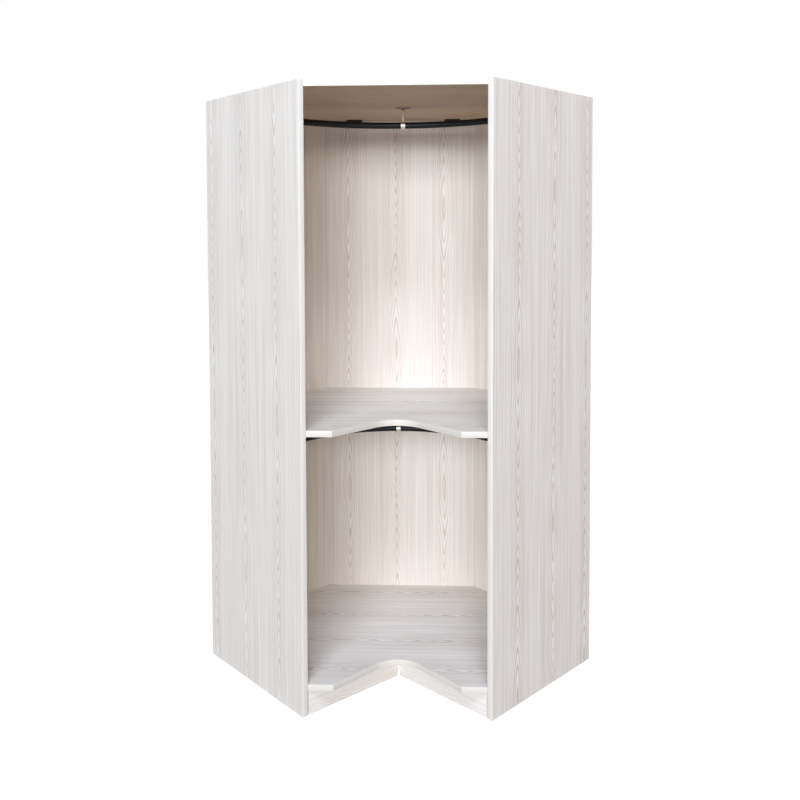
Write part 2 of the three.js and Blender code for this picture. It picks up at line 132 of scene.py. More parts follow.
def turnOutwards():
    pickAll()
    bpy.ops.mesh.normals_make_consistent(inside=False)


def closeMesh():
    bpy.ops.object.mode_set(mode="OBJECT")


def applyPlace(piece):
    selectOnly(piece)
    bpy.ops.object.transform_apply(location=True, rotation=True, scale=True)


def applyModifier(piece, kind, **settings):
    selectOnly(piece)
    modifier = piece.modifiers.new(kind.title(), kind)
    for key, value in settings.items():
        setattr(modifier, key, value)
    bpy.ops.object.modifier_apply(modifier=modifier.name)


def roundEdges(piece, width, segments=2, angle=40):
    applyModifier(
        piece, "BEVEL", width=width, segments=segments,
        limit_method="ANGLE", angle_limit=math.radians(angle),
    )


def smoothByAngle(piece, angle=35):
    selectOnly(piece)
    bpy.ops.object.shade_smooth_by_angle(angle=math.radians(angle))


def pick(piece, kind, test):
    # kind is faces or edges; all are let go before the first is picked, as neighbours share corners
    shape = bmesh.from_edit_mesh(piece.data)
    for part in getattr(shape, kind):
        part.select_set(False)
    for part in getattr(shape, kind):
        if test(part):
            part.select_set(True)
    bmesh.update_edit_mesh(piece.data)


def finishPiece(piece, slotName, material, *nodes):
    piece.data.materials.clear()
    piece.data.materials.append(material)
    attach(piece, "root")
    if nodes:
        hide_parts(*nodes)


def cubePiece(name, place, size, turn=0.0):
    selectNothing()
    bpy.ops.mesh.primitive_cube_add(size=1, location=place, rotation=(0, 0, turn), scale=size)
    cube = bpy.context.active_object
    cube.name = name
    applyPlace(cube)
    return cube


def circlePiece(name, sides, radius, place, turn=(0, 0, 0)):
    # an open circle, left in edit mode with all of it selected
    selectNothing()
    bpy.ops.mesh.primitive_circle_add(
        vertices=sides, radius=radius, fill_type="NOTHING", location=place, rotation=turn)
    circle = bpy.context.active_object
    circle.name = name
    applyPlace(circle)
    openMesh(circle)
    pickAll()
    return circle


# A round piece built up ring by ring: rings are (distance along the axis, radius).
def turnedPiece(name, rings, sides):
    distance, radius = rings[0]
    piece = circlePiece(name, sides, radius, (0, 0, distance))
    for nextDistance, nextRadius in rings[1:]:
        bpy.ops.mesh.extrude_region_move(
            TRANSFORM_OT_translate={"value": (0, 0, nextDistance - distance)})
        share = nextRadius / radius
        bpy.ops.transform.resize(
            value=(share, share, 1), center_override=(0, 0, nextDistance))
        distance, radius = nextDistance, nextRadius
    pickAll()
    bpy.ops.mesh.fill_holes(sides=0)
    turnOutwards()
    closeMesh()
    return piece


def copyPiece(source, name, place):
    twin = source.copy()
    twin.data = source.data.copy()
    twin.name = name
    twin.data.name = name
    bpy.context.scene.collection.objects.link(twin)
    twin.data.transform(place)
    return twin


def joinPieces(pieces, name):
    selectNothing()
    for piece in pieces:
        piece.select_set(True)
    bpy.context.view_layer.objects.active = pieces[0]
    if len(pieces) > 1:
        bpy.ops.object.join()
    joined = bpy.context.view_layer.objects.active
    joined.name = name
    return joined


def cutAway(piece, cutter, operation="DIFFERENCE"):
    applyModifier(piece, "BOOLEAN", object=cutter, operation=operation, solver="EXACT")
    bpy.data.objects.remove(cutter)


def cutCross(piece, sizes, height, turn):
    # a cross recess in a head whose face lies at that height
    size = (sizes["slotLength"], sizes["slotWidth"], sizes["slotDepth"] * 2)
    for spin in (turn, turn + math.pi / 2):
        cutAway(piece, cubePiece("slotModel", (0, 0, height), size, spin))


pocketRise = 0.001  # how far a pocket's cutter stands out of the face


def cutPockets(piece, spots, radius, depth, sides):
    pockets = []
    for spot in spots:
        pocket = turnedPiece("pocketModel", [(-depth, radius), (pocketRise, radius)], sides)
        pocket.data.transform(spot)
        pockets.append(pocket)
    cutAway(piece, joinPieces(pockets, "pocketModels"))


# Turns +Z to a direction and +X to a second one, and moves to a point.
def placement(point, direction, sideways=Vector((0, 0, 1))):
    forward = direction.normalized()
    across = (sideways - forward * sideways.dot(forward)).normalized()
    turn = Matrix((across, forward.cross(across), forward)).transposed().to_4x4()
    return Matrix.Translation(point) @ turn


# Wiring of materials

class Wire:  # one output socket that can be reckoned with
    def __init__(self, wiring, socket):
        self.wiring = wiring
        self.socket = socket

    def reckon(self, operation, *others):
        return self.wiring.math(operation, self, *others)

    def clamped(self):
        return self.reckon("MAXIMUM", 0.0).reckon("MINIMUM", 1.0)

    def __add__(self, other):
        return self.reckon("ADD", other)

    __radd__ = __add__

    def __sub__(self, other):
        return self.reckon("SUBTRACT", other)

    def __rsub__(self, other):
        return self.wiring.math("SUBTRACT", other, self)

    def __mul__(self, other):
        return self.reckon("MULTIPLY", other)

    __rmul__ = __mul__

    def __truediv__(self, other):
        return self.reckon("DIVIDE", other)

    def __rtruediv__(self, other):
        return self.wiring.math("DIVIDE", other, self)

    def __pow__(self, other):
        return self.reckon("POWER", other)


class Wiring:  # the nodes of one material or world
    def __init__(self, owner):
        owner.use_nodes = True
        self.tree = owner.node_tree
        self.tree.nodes.clear()

    # Settings are set before the sockets are filled or linked.
    def node(self, kind, settings=None, sockets=None, output=0):
        node = self.tree.nodes.new(kind)
        for key, value in (settings or {}).items():
            setattr(node, key, value)
        for key, value in (sockets or {}).items():
            self.fill(node.inputs[key], value)
        return Wire(self, node.outputs[output])

    def fill(self, socket, value):
        if isinstance(value, Wire):
            self.tree.links.new(value.socket, socket)
        elif hasattr(value, "__len__") and len(value) == 3 and socket.type == "RGBA":
            socket.default_value = (*value, 1)
        else:
            socket.default_value = value

    def math(self, operation, *values):
        return self.node("ShaderNodeMath", {"operation": operation}, dict(enumerate(values)))

    def dot(self, vector, direction):
        return self.node(
            "ShaderNodeVectorMath", {"operation": "DOT_PRODUCT"},
            {0: vector, 1: direction}, "Value")

    def combine(self, x, y, z):
        return self.node("ShaderNodeCombineXYZ", None, {"X": x, "Y": y, "Z": z})

    def noise(self, vector, scale, detail=2.0, roughness=0.5):
        return self.node("ShaderNodeTexNoise", {"noise_dimensions": "3D"}, {
            "Vector": vector, "Scale": scale, "Detail": detail, "Roughness": roughness})

    def mix(self, factor, first, second):
        return self.node(
            "ShaderNodeMix", {"data_type": "RGBA", "blend_type": "MIX", "clamp_factor": True},
            {0: factor, 6: first, 7: second}, 2)

    def times(self, vector, factors):
        # a colour by a tint, or a place by a scale for each axis
        return self.node("ShaderNodeVectorMath", {"operation": "MULTIPLY"}, {0: vector, 1: factors})

    def place(self):
        return self.node("ShaderNodeTexCoord", None, None, "Object")

    def normal(self):
        return self.node("ShaderNodeTexCoord", None, None, "Normal")

    def directRays(self):
        # 1 for rays that show a thing as it is, 0 for the light that bounces off it
        camera, glossy, through = (
            self.node("ShaderNodeLightPath", None, None, f"Is {kind} Ray")
            for kind in ("Camera", "Glossy", "Transmission"))
        return camera.reckon("MAXIMUM", glossy).reckon("MAXIMUM", through)

    def show(self, shader, output="ShaderNodeOutputMaterial"):
        last = self.tree.nodes.new(output)
        self.tree.links.new(shader.socket, last.inputs["Surface"])


def linear(red, green, blue):
    # a colour as a screen shows it, 0 to 255, in the values that the shaders reckon with
    values = [channel / 255 for channel in (red, green, blue)]
    return tuple(v / 12.92 if v <= 0.04045 else ((v + 0.055) / 1.055) ** 2.4 for v in values)


def surface(name, constants, changing, bumpStrength, bumpDistance):
    # constants are sockets of the Principled shader, and changing gives more from the wiring
    material = bpy.data.materials.new(name)
    wiring = Wiring(material)
    links = changing(wiring)
    height = links.pop("height", None)
    if height is not None:
        links["Normal"] = wiring.node("ShaderNodeBump", None, {
            "Strength": bumpStrength, "Distance": bumpDistance, "Height": height})
    wiring.show(wiring.node("ShaderNodeBsdfPrincipled", None, {**constants, **links}))
    return material


# Whitewashed wood laminate

ashPrint = {
    "columnPitch": 0.2105,     # from one row of arches to the next
    "repeat": 1.232,           # length of the printed figure
    "ringSpacing": 0.0100,
    "crowding": 0.058,         # how soon the arms of the arches draw together sideways
    "tipRadius": 0.0055,
    "archRings": 9.0,          # from an eye to the next crossing
    "archReach": 0.048,        # how far to the side the arches spread
    "crossingRound": 0.002,    # how blunt two arches are where they cross
    "riseShares": (0.6, 0.4),  # of the steady and the growing part
    "wander": 0.014,
    "unrest": 1.3,             # in rings
    "pale": (233, 225, 216),
    "grain": (184, 166, 153),
    "ground": 0.19,
    "archShare": 0.50,
    "paleShare": 0.22,
    "streakShare": 0.85,
    "fineShare": 0.55,
    "broadShare": 0.16,
    "wanderScale": (5.3, 1.7),   # across the grain and along it, as all the scales below
    "unrestScale": (16, 4.2),
    "patchScale": (0.7, 1.4),
    "patchSwing": (2.0, 0.75),   # how the arches come and go
    "streakScale": (150, 0.9),
    "streakRoughness": 0.6,      # and the fine grain's
    "fineScale": (420, 4.0),
    "broadScale": (22, 0.45),
    "eyeBand": (0.27, 0.13),   # place and width of the pale band round an eye
    "roughness": 0.50,
    "grainRoughness": 0.16,
    "specular": 0.35,
    "bump": 0.25,
    "grainDepth": 0.00015,
}


# The figure runs along `along` and is counted from `origin`, a point of the seen face where two
# arches cross. On a board's ends the grain runs along the edge, as a printed edge strip's does.
# The tint that multiplies pale and grain is painted light and shade, making a board lighter, darker
# or cooler for how the lamps fall on it; where given, the grain lines take their own tint instead.
def ashWood(name, across, along, origin, paintedLightAndShade=(1, 1, 1), contrast=1.0,
            paintedUndersideShade=None, grainShade=None):
    look = ashPrint
    pale = tuple(c * t for c, t in zip(linear(*look["pale"]), paintedLightAndShade))
    grain = tuple(c * t for c, t in zip(linear(*look["grain"]), grainShade or paintedLightAndShade))
    depth = across.cross(along)

    def changing(w):
        place = w.place()
        sideways = w.dot(place, across + depth) - origin.dot(across + depth)
        lengthways = w.dot(place, along) - origin.dot(along)
        facing = w.dot(w.normal(), along)
        onEnd = facing.reckon("ABSOLUTE").reckon("GREATER_THAN", 0.5)
        u = sideways + onEnd * (w.dot(place, depth) - sideways)
        v = lengthways + onEnd * (w.dot(place, across) - lengthways)
        column = (u / look["columnPitch"]).reckon("ROUND")
        kind = column.reckon("FLOORED_MODULO", 2.0)

        def ripple(x, y, scale, third, detail=1.0, roughness=0.5):
            # unevenness from -0.5 to 0.5; the third coordinate tells one from another
            where = w.combine(x * scale[0], y * scale[1], third)
            return w.noise(where, 1.0, detail, roughness) - 0.5

        wander = ripple(kind, v, look["wanderScale"], 0.0) * look["wander"]
        offset = u - column * look["columnPitch"] + wander
        unrest = ripple(offset, v, look["unrestScale"], kind * 3.7, 2.0) * look["unrest"]
        # 0 at an eye, where the rings close, and 1 where two arches cross
        rise = 1 - (v * (2 / look["repeat"]) + kind).reckon("PINGPONG", 1.0)
        rise = (rise * rise + look["crossingRound"]).reckon("SQRT")
        spread = (offset * offset + look["tipRadius"] ** 2).reckon("SQRT")
        steady, growing = look["riseShares"]
        rings = (spread / look["ringSpacing"] + (spread / look["crowding"]) ** 3
                 + (rise * steady + rise * rise * growing) * look["archRings"] + unrest)
        fade = ((spread / look["archReach"]) ** 2 * -1).reckon("EXPONENT")
        wave = (rings * (2 * math.pi)).reckon("COSINE") * 0.5 + 0.5
        swing, even = look["patchSwing"]
        patchy = ripple(rings, v, look["patchScale"], kind * 2.1 + 4) * swing + even
        arch = (wave ** 3) * fade * patchy
        bandPlace, bandWidth = look["eyeBand"]
        nearEye = (((rise - bandPlace) / bandWidth) ** 2 * -1).reckon("EXPONENT")
        paleBand = (1 - wave) * fade * nearEye
        streak = ripple(u, v, look["streakScale"], 0.0, 2.0, look["streakRoughness"])
        fine = ripple(u, v, look["fineScale"], 3.0, 2.0, look["streakRoughness"])
        broad = ripple(u, v, look["broadScale"], 7.0)
        figure = (arch * look["archShare"] - paleBand * look["paleShare"]
                  + streak * look["streakShare"] + fine * look["fineShare"]
                  + broad * look["broadShare"])
        tone = figure * contrast + look["ground"]
        colour = w.mix(tone, pale, grain)
        # painted shade: the faces that look down are darkened and warmed, as bounced light shades
        # them
        if paintedUndersideShade:
            down = w.dot(w.normal(), upright)
            colour = w.mix(down.reckon("LESS_THAN", -0.5), colour, w.times(colour, paintedUndersideShade))
        return {
            "Base Color": colour,
            "Roughness": tone * look["grainRoughness"] + look["roughness"],
            "height": tone * -1,
        }

    return surface(name, {"Specular IOR Level": look["specular"]}, changing,
                   look["bump"], look["grainDepth"])


# The tints here are painted light and shade, set for how the lamps fall on each board: the diagonal
# back is darkened, the shelf and the bottom are made lighter and cooler as by light from above, the
# top's underside darker and warmer.
ashMaterials = {
    "diagonal_back_panel": ashWood("diagonalAsh", rightward, upright,
                                   Vector((-0.2277, 0.404, 1.172)), (0.95, 0.95, 0.95)),
    "top_panel": ashWood("topAsh", rearward, rightward, Vector((0.2, 0.05, 2.178)),
                         paintedUndersideShade=(0.85, 0.72, 0.57)),
    "mid_shelf": ashWood("shelfAsh", rearward, rightward, Vector((0.31, -0.118, 1.002)),
                         (1.01, 1.065, 1.08), 1.25, grainShade=(0.99, 0.96, 0.93)),
    "bottom_panel": ashWood("bottomAsh", rearward, rightward, Vector((-0.22, 0.122, 0.110)),
                            (1.04, 1.085, 1.12), 1.25, grainShade=(1.02, 0.99, 0.97)),
}
# painted shade: both side panels are tinted darker, the left more than the right
for sideName, side, columnOut, crossHeight, paintedLightAndShade, contrast in (
    ("left", -1, 0.457, 1.634, (0.905, 0.935, 0.945), 1.1),
    ("right", 1, 0.456, 1.836, (0.94, 0.955, 0.965), 1.3),
):
    ashMaterials[sideName + "_side_panel"] = ashWood(
        sideName + "AshSide", outOfWall(side), upright,
        planPoint(side, wardrobe["outerSide"], columnOut, crossHeight), paintedLightAndShade, contrast)
    ashMaterials[sideName + "_back_panel"] = ashWood(
        sideName + "AshBack", alongWall(side), upright,
        planPoint(side, 0.62, wardrobe["backThickness"], 1.3 + side * 0.2))
    # painted light: the plinth is tinted lighter and cooler, as by light off a pale floor
    ashMaterials[sideName + "_plinth"] = ashWood(
        sideName + "AshPlinth", upright, plinthLine(side)[1], Vector((side * 0.15, -0.27, -0.012)),
        (1.04, 1.08, 1.12), 1.0)
print("wood finishes made:", len(ashMaterials))


# The other finishes. Each fades between a light and a dark colour in soft clouds (noise scale and
# detail) and has a fine grain (scale along each axis, and detail) that the bump follows. The
# roughness is a base and the shares that the clouds and the grain add.
bandLook = {
    "cloud": (9.0, 2.0), "grain": (900, 900, 900), "detail": 1.0,
    "roughness": (0.32, 0.12, 0.0), "bump": 0.08, "specular": 0.5}
plainFinishes = {
    "whiteEdgeBand": {"light": linear(226, 221, 213), "dark": linear(219, 214, 205), **bandLook},
    "whiteStripPlastic": {
        "light": linear(246, 244, 240), "dark": linear(238, 236, 231), "cloud": (30.0, 2.0),
        "grain": (900, 900, 12), "detail": 1.0, "roughness": (0.38, 0.10, 0.0),
        "bump": 0.05, "specular": 0.5},
    # painted shade: the same white as the side panels' bands, made darker where the lamps light the
    # level fronts more fully
    "levelBandPaintedShade": {   # a shade deeper than the bands of the side panels
        "light": linear(207, 202, 193), "dark": linear(200, 194, 184), **bandLook},
    "blackRailPaint": {
        "light": (0.0028, 0.0032, 0.0045), "dark": (0.0050, 0.0056, 0.0072), "cloud": (14.0, 3.0),
        "grain": (420, 420, 420), "roughness": (0.34, 0.14, 0.0),
        "bump": 0.10, "specular": 0.22},
    "mouldedBlack": {
        "light": (0.0045, 0.0045, 0.0045), "dark": (0.0075, 0.0075, 0.0075), "cloud": (40.0, 2.0),
        "grain": (1500, 1500, 1500), "roughness": (0.46, 0.18, 0.0),
        "bump": 0.15, "specular": 0.3},
    "nickelPlate": {
        "light": (0.68, 0.63, 0.55), "dark": (0.60, 0.55, 0.47), "cloud": (60.0, 3.0),
        "grain": (150, 150, 2200), "roughness": (0.16, 0.12, 0.12), "bump": 0.06},
    # painted light: the posts' nickel is made lighter than the rings', so that they read bright
    "nickelPostPaintedLight": {      # the turned posts, satin beside the bright rings
        "light": (0.86, 0.82, 0.74), "dark": (0.78, 0.73, 0.64), "cloud": (70.0, 3.0),
        "grain": (120, 120, 2600), "roughness": (0.40, 0.10, 0.08), "bump": 0.06},
    # painted shade: the plates' nickel is made dark, standing for the shade and the dark wood that
    # they mirror under the top
    "nickelFlangePaintedShade": {    # the pressed plates, dull and dark
        "light": (0.19, 0.16, 0.13), "dark": (0.14, 0.12, 0.10), "cloud": (90.0, 3.0),
        "grain": (160, 2400, 160), "roughness": (0.24, 0.14, 0.10), "bump": 0.06},
    "zincPlate": {       # its grain is the spangle of the coating
        "light": (0.55, 0.56, 0.58), "dark": (0.42, 0.43, 0.45), "cloud": (90.0, 3.0),
        "spangle": 420.0, "roughness": (0.28, 0.2, 0.1), "bump": 0.08},
}
grainDepth = 0.0001


def plainFinish(name, look):
    def changing(w):
        place = w.place()
        cloud = w.noise(place, *look["cloud"])
        if "spangle" in look:
            grain = w.node("ShaderNodeTexVoronoi", {"feature": "F1"},
                           {"Vector": place, "Scale": look["spangle"]})
        else:
            grain = w.noise(w.times(place, look["grain"]), 1.0, look.get("detail", 2.0))
        base, byCloud, byGrain = look["roughness"]
        return {
            "Base Color": w.mix(cloud, look["light"], look["dark"]),
            "Roughness": cloud * byCloud + grain * byGrain + base,
            "height": grain,
        }

    metal = "specular" not in look
    constants = {"Metallic": 1.0} if metal else {"Specular IOR Level": look["specular"]}
    return surface(name, constants, changing, look["bump"], grainDepth)


finishes = {name: plainFinish(name, look) for name, look in plainFinishes.items()}

# the first of these that is part of a node's name gives its finish
nodeFinishes = {
    "side_edge_band": "whiteEdgeBand", "edge_band": "levelBandPaintedShade", "corner_strip": "levelBandPaintedShade",
    "_cam_": "zincPlate", "_bolt_": "zincPlate", "bracket": "zincPlate", "support": "nickelPlate",
    "block": "mouldedBlack", "socket": "mouldedBlack", "rail": "blackRailPaint",
}
for nodeName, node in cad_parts.items():
    if nodeName in ashMaterials:
        finish = ashMaterials[nodeName]
    else:
        finish = finishes[next(nodeFinishes[part] for part in nodeFinishes if part in nodeName)]
    for materialSlot in node.material_slots:
        materialSlot.material = finish
    for face in node.data.polygons:
        face.use_smooth = False
print("finishes given to the packed solids")


# Boards, each cut from a block by planes

boardSizes = {
    "blockWidth": 3.0,
    "band": 0.002,
    "bandEdge": 0.0007,
    "edge": 0.0004,
    "overhang": 0.063,        # how far the shaped fronts run past the side panels' fronts
    "notchRadius": 0.115,
    "notchSteps": 40,
    "cutterWidth": 1.0,
    "frontHalfWidth": 0.3,    # the faces of a front lie within it, the ends outside
    "plinthEndGap": 0.0040,
    "stripWidth": 0.007,
    "stripEdge": 0.001,
}


def cutByPlanes(piece, planes):
    # planes are (point, outward direction), and what lies outside goes
    openMesh(piece)
    for point, outward in planes:
        pickAll()
        bpy.ops.mesh.bisect(plane_co=point, plane_no=outward, clear_outer=True, use_fill=True)
    closeMesh()


def cutBoard(name, bottom, top, planes):
    width = boardSizes["blockWidth"]
    board = cubePiece(name, (0, 0, (bottom + top) / 2), (width, width, top - bottom))
    cutByPlanes(board, planes)
    return board


def finishBoard(board, nodeName):
    finishPiece(board, "whitewashed_wood", ashMaterials[nodeName], nodeName)


def roundFront(band, outward):
    # the long front edges, as an edge strip is trimmed
    openMesh(band, "EDGE")
    pick(band, "edges", lambda edge: (
        all(face.normal.dot(outward) > -0.01 for face in edge.link_faces)
        and any(face.normal.dot(outward) > 0.9 for face in edge.link_faces)))
    bpy.ops.mesh.bevel(offset=boardSizes["bandEdge"], segments=3, affect="EDGES")
    closeMesh()
    smoothByAngle(band, 50)


def sidePanels():
    sizes = wardrobe
    boardFront = sizes["sideDepth"] - boardSizes["band"]
    for sideName, side in bothSides:
        along, out = alongWall(side), outOfWall(side)
        faces = [(planPoint(side, sizes["innerSide"], 0), -along),
                 (planPoint(side, sizes["outerSide"], 0), along)]
        panel = cutBoard(f"{sideName}_panel", 0, sizes["height"], faces + [
            (planPoint(side, 1, 0), -out),
            (planPoint(side, 1, boardFront - gap), out)])
        roundEdges(panel, boardSizes["edge"])
        finishBoard(panel, sideName + "_side_panel")
        band = cutBoard(f"{sideName}_panel_front_strip", 0, sizes["height"], faces + [
            (planPoint(side, 1, boardFront), -out),
            (planPoint(side, 1, sizes["sideDepth"]), out)])
        roundFront(band, out)
        finishPiece(band, "white_edge", finishes["whiteEdgeBand"], sideName + "_side_edge_band")


def backPanels():
    sizes = wardrobe
    thickness, inner = sizes["backThickness"], sizes["innerCorner"]
    outer = outerBackReach / half
    top = sizes["topUnderside"] - gap
    mitres = []
    for sideName, side in bothSides:
        along, out = alongWall(side), outOfWall(side)
        joint = planPoint(side, outer, 0)
        run = planPoint(side, inner, thickness) - joint
        mitre = run.cross(upright).normalized()
        mitre = mitre if mitre.dot(along) < 0 else -mitre
        mitres.append((joint, -mitre))
        panel = cutBoard(f"{sideName}_wall_back", 0, top, [
            (joint - mitre * gap, mitre),
            (planPoint(side, 1, 0), -out),
            (planPoint(side, 1, thickness), out),
            (planPoint(side, sizes["boardEnd"], 0), along)])
        roundEdges(panel, boardSizes["edge"])
        finishBoard(panel, sideName + "_back_panel")
    diagonal = cutBoard("corner_back", 0, top, mitres + [
        (onDiagonal(innerBackReach), -rearward),
        (onDiagonal(outerBackReach), rearward)])
    roundEdges(diagonal, boardSizes["edge"])
    finishBoard(diagonal, "diagonal_back_panel")


def notchCutter(inset, bottom, top):
    # stands in the angle between the two arms of a shaped front, its inner corner rounded
    reach = wardrobe["sideDepth"] + boardSizes["overhang"] - inset
    corner = planPoint(1, reach, reach)
    size = boardSizes["cutterWidth"]
    cutter = cubePiece("notchModel", (corner.x, corner.y - size * half, (bottom + top) / 2),
                       (size, size, (top - bottom) * 2), math.pi / 4)
    openMesh(cutter, "EDGE")
    pick(cutter, "edges", lambda edge: all(
        (vertex.co - corner).xy.length < 0.001 for vertex in edge.verts))
    bpy.ops.mesh.bevel(
        offset=boardSizes["notchRadius"] + inset, segments=boardSizes["notchSteps"], affect="EDGES")
    closeMesh()
    return cutter


def frontStrip(board, name, nodeName, ends):
    # the board's front faces, set off by the gap and made as thick as the strip
    strip = copyPiece(board, name, Matrix.Identity(4))
    openMesh(strip, "FACE")
    pick(strip, "faces", lambda face: not (
        face.normal.y < -0.1 and abs(face.calc_center_median().x) < boardSizes["frontHalfWidth"]))
    bpy.ops.mesh.delete(type="FACE")
    pickAll()
    bpy.ops.transform.shrink_fatten(value=gap, use_even_offset=True)
    closeMesh()
    applyModifier(strip, "SOLIDIFY", thickness=boardSizes["band"], offset=1, use_even_offset=True)
    cutByPlanes(strip, ends)
    roundEdges(strip, boardSizes["bandEdge"], 3, 60)
    smoothByAngle(strip, 40)  # below the 45 degrees where a band leaves the square part
    finishPiece(strip, "white_edge", finishes["levelBandPaintedShade"], nodeName + "_edge_band")


camSizes = {
    "reach": 0.034,           # from the board's end to the cam's axis
    "inset": 0.064,           # from a side panel's front, and from the back
    "radius": 0.0074,
    "height": 0.0125,
    "rim": 0.0006,
    "rimSteps": (2.5, 3.2),   # how far in the groove inside the rim starts and ends, in rims
    "slotLength": 0.008,
    "slotWidth": 0.0016,
    "slotDepth": 0.003,
    "turn": 0.5,
    "sides": 48,
}


def camSpots(face, facing):
    # where the cams of a level board lie: node name ending, and placement of a cam made along +Z
    spots = {}
    for sideName, side in bothSides:
        for placeName, out in (("front", wardrobe["sideDepth"] - camSizes["inset"]),
                               ("back", wardrobe["backThickness"] + camSizes["inset"])):
            point = planPoint(side, wardrobe["innerSide"] - camSizes["reach"], out, face)
            spots[f"{sideName}_{placeName}"] = placement(point, upright * facing, rightward)
    return spots


def makeCam():
    sizes = camSizes
    radius, rim = sizes["radius"], sizes["rim"]
    grooveStart, grooveEnd = sizes["rimSteps"]
    cam = turnedPiece("camModel", [
        (-sizes["height"], radius),
        (-rim, radius),
        (0.0, radius - rim),
        (0.0, radius - rim * grooveStart),
        (-rim, radius - rim * grooveEnd),
    ], sizes["sides"])
    cutCross(cam, sizes, 0, sizes["turn"])
    smoothByAngle(cam, 30)
    return cam


def levelBoard(nodeName, levelName, bottom, shaped):
    # the shaped ones stand between the backs, with their cams below; the top lies on the backs
    sizes = wardrobe
    top = bottom + sizes["boardThickness"]
    inset = boardSizes["band"] + gap
    rearOut = sizes["backThickness"] + gap if shaped else 0.0
    rearReach = innerBackReach + gap if shaped else outerBackReach
    frontReach = (sizes["innerSide"] + sizes["sideDepth"]) * half
    ends = [(planPoint(side, sizes["boardEnd"], 0), alongWall(side)) for side in (-1, 1)]
    board = cutBoard(f"{levelName}_board", bottom, top, ends + [
        (planPoint(side, 1, rearOut), -outOfWall(side)) for side in (-1, 1)] + [
        (onDiagonal(rearReach), rearward),
        (onDiagonal(frontReach - inset), -rearward)])
    if shaped:
        cutAway(board, notchCutter(inset, bottom, top))
    frontStrip(board, f"{levelName}_front_strip", nodeName, ends)
    roundEdges(board, boardSizes["edge"], 2, 60)
    spots = camSpots(bottom, -1) if shaped else camSpots(top, 1)
    for ending, spot in spots.items():
        name = f"{levelName}_cam_{ending}"
        cam = copyPiece(camModel, name + "_drum", spot)
        finishPiece(cam, "zinc", finishes["zincPlate"], name)
    cutPockets(board, spots.values(), camSizes["radius"] + gap,
               camSizes["height"] + gap, camSizes["sides"])
    smoothByAngle(board, 20)
    finishBoard(board, nodeName)


def plinthBoards():
    sizes = wardrobe
    top = sizes["bottomUnderside"] - gap
    halfStrip = boardSizes["stripWidth"] / 2
    for sideName, side in bothSides:
        inner, _, facing = plinthLine(side)
        board = cutBoard(f"{sideName}_plinth_board", 0, top, [
            (inner, facing),
            (inner - facing * sizes["backThickness"], -facing),
            (Vector((side * (halfStrip + gap), 0, 0)), rightward * -side),
            (planPoint(side, sizes["innerSide"] - boardSizes["plinthEndGap"], 0), alongWall(side))])
        roundEdges(board, boardSizes["edge"])
        finishBoard(board, sideName + "_plinth")
    strip = cutBoard("plinth_joint_strip", 0, top, [
        (Vector((-halfStrip, 0, 0)), -rightward),
        (Vector((halfStrip, 0, 0)), rightward),
        (Vector((0, inner.y - halfStrip, 0)), -rearward),
        (Vector((0, inner.y + sizes["backThickness"], 0)), rearward)])
    roundEdges(strip, boardSizes["stripEdge"], 3)
    smoothByAngle(strip, 50)
    finishPiece(strip, "white_edge", finishes["whiteStripPlastic"], "plinth_corner_strip")


sidePanels()
backPanels()
camModel = makeCam()
levelBoard("top_panel", "top", wardrobe["topUnderside"], False)
levelBoard("mid_shelf", "shelf", wardrobe["shelfUnderside"], True)
levelBoard("bottom_panel", "bottom", wardrobe["bottomUnderside"], True)
bpy.data.objects.remove(camModel)
plinthBoards()
print("boards, strips and cams made")


# Hanging rails

railSizes = {
    "radius": 0.0125,
    "wall": 0.0015,
    "reach": 0.307,           # from the wall to the straight ends
    "tubeEnd": 1.0339,
    "sides": 40,
    "bendSteps": 72,
    "weld": 0.00001,
}
railPlaces = {
    "upper": {"axis": 2.109, "bend": 0.600, "support": 0.020, "board": 2.178},
    "lower": {"axis": 0.886, "bend": 0.450, "support": -0.003, "board": 0.980},
}


def bentRail(name, axisHeight, bendRadius):
    sizes = railSizes
    start = planPoint(-1, sizes["tubeEnd"], sizes["reach"], axisHeight)
    bendStart = planPoint(-1, sizes["reach"] + bendRadius, sizes["reach"], axisHeight)
    centre = planPoint(1, sizes["reach"] + bendRadius, sizes["reach"] + bendRadius, axisHeight)
    run = bendStart - start
    rail = circlePiece(name, sizes["sides"], sizes["radius"], start,
                       run.to_track_quat("Z", "Y").to_euler())
    bpy.ops.mesh.extrude_region_move(TRANSFORM_OT_translate={"value": run})
    bpy.ops.mesh.spin(
        steps=sizes["bendSteps"], angle=math.pi / 2, center=centre, axis=(0, 0, 1))
    lastRun = alongWall(1) * run.length
    bpy.ops.mesh.extrude_region_move(TRANSFORM_OT_translate={"value": lastRun})
    pickAll()
    bpy.ops.mesh.remove_doubles(threshold=railSizes["weld"])
    turnOutwards()
    closeMesh()
    applyModifier(rail, "SOLIDIFY", thickness=sizes["wall"], offset=-1)
    smoothByAngle(rail)
    return rail


for railName, place in railPlaces.items():
    rail = bentRail(railName + "_bent_rail", place["axis"], place["bend"])
    finishPiece(rail, "black_rail", finishes["blackRailPaint"], railName + "_rail")
    low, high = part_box(railName + "_rail")
    print(f"{railName} rail made over a solid {high.x - low.x:.4f} m wide")


# Screws, modelled once along +Z and copied

screwSizes = {
    "headRadius": 0.0036,
    "headHeight": 0.0015,
    "rimHeight": 0.0005,
    "slotWidth": 0.0009,
    "slotLength": 0.0040,
    "slotDepth": 0.0010,
    "sides": 20,
    "foot": 0.0006,           # how deep the head stands in its seat
    "profile": ((-1, 0.7), (0, 0.97)),   # shares of the foot and of the radius
    "crown": ((0.72, 0.86), (0.93, 0.60), (1, 0.30)),   # shares of the height and of the radius
    "firstSpin": 0.35,        # the slots of a group's screws stand at different angles
    "nextSpin": 0.9,
}


